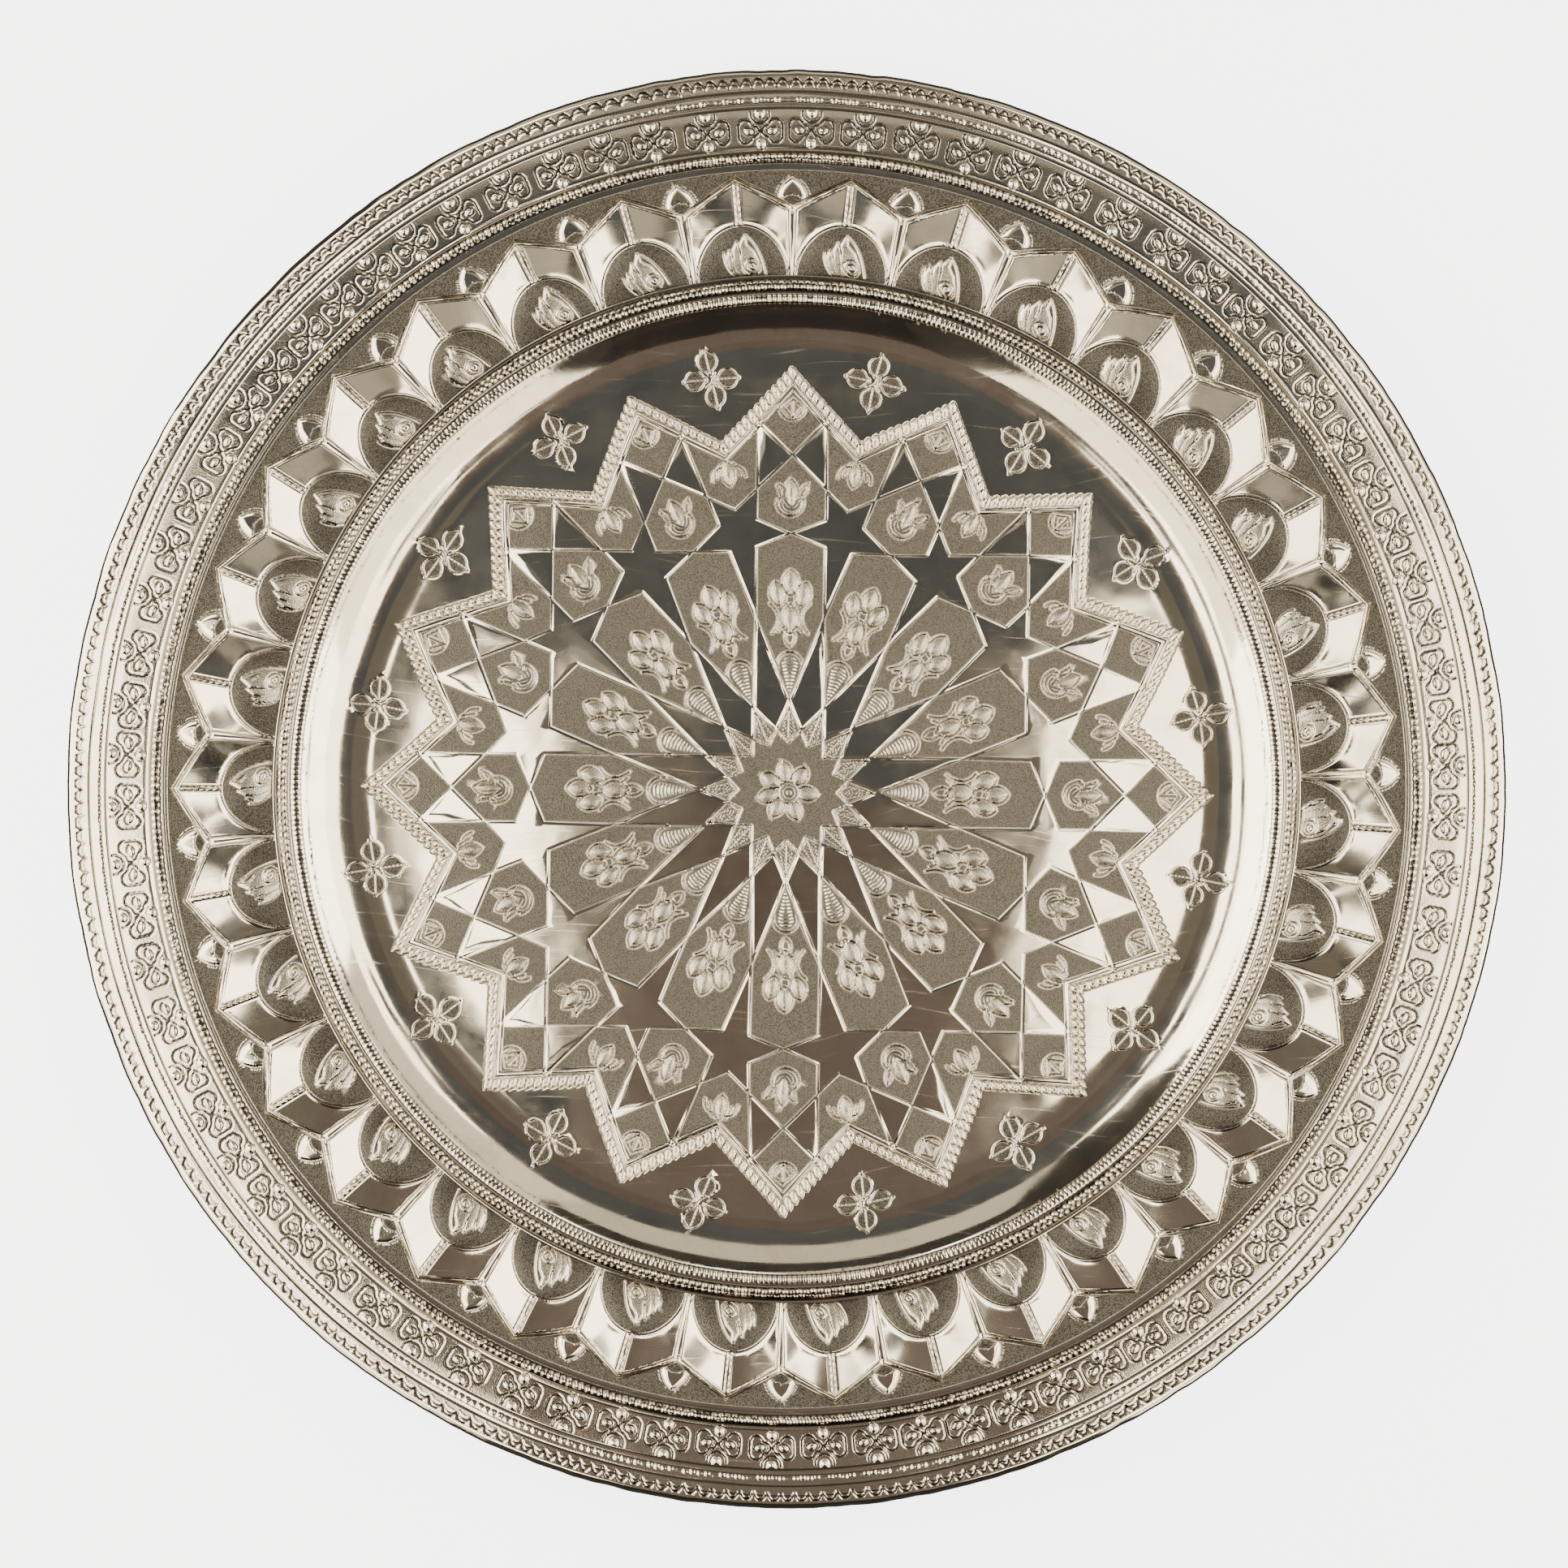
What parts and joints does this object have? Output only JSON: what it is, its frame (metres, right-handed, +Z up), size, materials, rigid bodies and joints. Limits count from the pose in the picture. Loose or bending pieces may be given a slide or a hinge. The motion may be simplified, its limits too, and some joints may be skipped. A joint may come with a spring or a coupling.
{
  "type": "serving tray",
  "caption": "Large round serving tray of tinned copper, with a chased star on its flat floor, a cove, a fluted border, beaded rings and an edge rolled over a wire.",
  "frame": {"origin": "middle of the flat underside, on the surface that the tray stands on", "axes": "+Z up through the floor of the tray, which is the axis that it is turned about; +Y towards a valley between two flutes"},
  "size_m": [0.6, 0.6, 0.0269],
  "materials": {
    "tinned_copper": null,
    "iron_wire": "plain drawn iron wire, dull"
  },
  "bodies": {
    "root": {"tray_sheet": "tinned_copper", "rim_wire": "iron_wire"}
  },
  "joints": []
}
